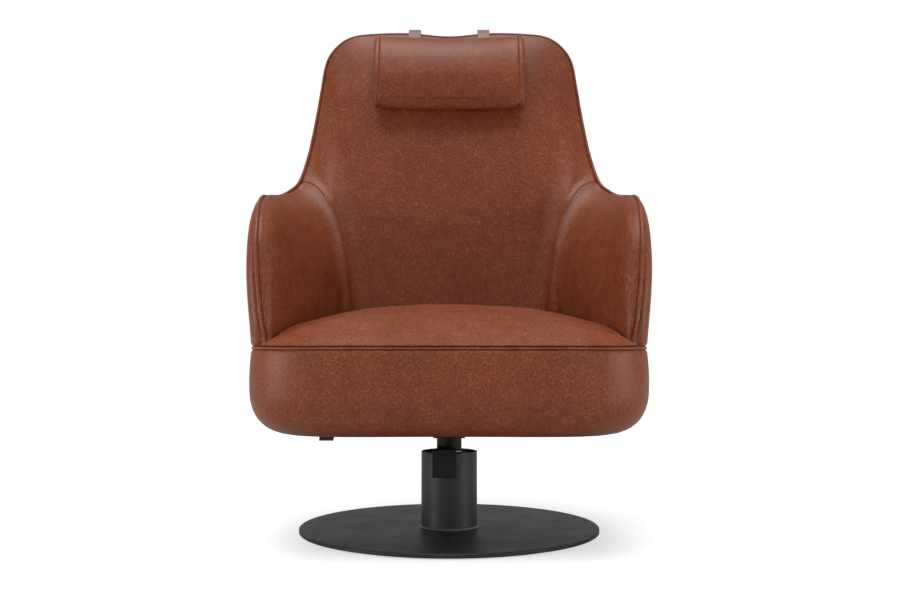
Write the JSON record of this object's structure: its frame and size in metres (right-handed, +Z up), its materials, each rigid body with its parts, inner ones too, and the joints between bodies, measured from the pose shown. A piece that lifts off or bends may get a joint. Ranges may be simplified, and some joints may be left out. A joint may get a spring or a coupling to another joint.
{
  "type": "swivel recliner chair",
  "caption": "Upholstered lounge chair that swivels on a round disc base and tilts back, with continuous back and arms and a headrest pillow that slides.",
  "frame": {"origin": "centre of the base's underside, on the floor and on the swivel axis", "axes": "+Z up along the swivel axis, -Y towards the front of the seat, +X to the right of a person who faces the chair"},
  "size_m": [0.766, 0.7685, 1.0744],
  "materials": {
    "floor_rubber": "matt black rubber",
    "black_steel": "fine textured black powder coat",
    "weld_steel": "painted weld bead",
    "zinc_steel": "zinc plated",
    "nylon": "natural nylon",
    "black_plastic": "fine grained black plastic",
    "friction_lining": "pressed friction lining",
    "timber": "planed timber",
    "shell_ply": "moulded plywood",
    "webbing": "woven elastic webbing",
    "dust_cloth": "black non-woven cloth",
    "upholstery": "foam under distressed brown leather with a dull sheen",
    "piping_leather": "brown leather over cord",
    "strap_leather": "brown leather band",
    "pouch_leather": "brown leather",
    "weight_steel": "raw steel bar"
  },
  "bodies": {
    "base": {"floor_pad": "floor_rubber", "base_disc": "black_steel", "base_screws": "zinc_steel", "foot_plate": "black_steel", "column_tube": "black_steel", "column_weld": "weld_steel", "bearing_tube": "black_steel", "lower_bushing": "nylon", "upper_bushing": "nylon", "thrust_washer": "nylon", "column_cap": "black_plastic"},
    "swivel": {"swivel_post": "black_steel", "retaining_bolt": "zinc_steel", "retaining_washer": "zinc_steel", "brake_bracket": "black_steel", "brake_block": "black_steel", "brake_lining": "friction_lining", "brake_screw": "zinc_steel", "tilt_channel": "black_steel", "tilt_axle": "zinc_steel", "axle_rings": "zinc_steel", "tilt_spring": "floor_rubber", "front_buffer": "floor_rubber", "rear_buffer": "floor_rubber"},
    "seat": {"seat_plate": "black_steel", "axle_bushings": "nylon", "seat_bolts": "zinc_steel", "lever_brackets": "black_steel", "cross_rails": "timber", "front_rail": "timber", "rear_rail": "timber", "side_rails": "timber", "seat_webbing": "webbing", "seat_border": "upholstery", "dust_cover": "dust_cloth", "seat_cushion": "upholstery", "seat_piping": "piping_leather", "shell_frame": "shell_ply", "outer_cover": "upholstery", "back_pad": "upholstery", "left_arm_pad": "upholstery", "right_arm_pad": "upholstery", "rim_piping": "piping_leather", "headrest_straps": "strap_leather"},
    "lever": {"lever_rod": "zinc_steel", "clamp_cam": "zinc_steel", "clamp_lining": "friction_lining", "lever_paddle": "black_plastic"},
    "headrest": {"headrest_pillow": "upholstery"},
    "weight": {"weight_pouch": "pouch_leather", "weight_bar": "weight_steel"}
  },
  "joints": [
    {"name": "swivel", "type": "hinge", "parent": "base", "child": "swivel", "pos_m": [0, 0, 0], "axis": [0, 0, 1], "continuous": true},
    {"name": "recline", "type": "hinge", "parent": "swivel", "child": "seat", "pos_m": [0, 0, 0.213], "axis": [-1, 0, 0], "range_deg": [0, 16], "stiffness_Nm_per_rad": 115, "springref_deg": -23.49},
    {"name": "lock_lever", "type": "hinge", "parent": "seat", "child": "lever", "pos_m": [-0.15, -0.076, 0.21], "axis": [1, 0, 0], "range_deg": [0, 35]},
    {"name": "headrest_slide", "type": "slide", "parent": "seat", "child": "headrest", "axis": [0, -0.3486, -0.9373], "range_m": [0, 0.06]},
    {"name": "weight_slide", "type": "slide", "parent": "seat", "child": "weight", "axis": [0, -0.1392, -0.9903], "range_m": [-0.06, 0]}
  ],
  "couplings": [
    {"joint": "weight_slide", "follows": "headrest_slide", "ratio": -1}
  ]
}
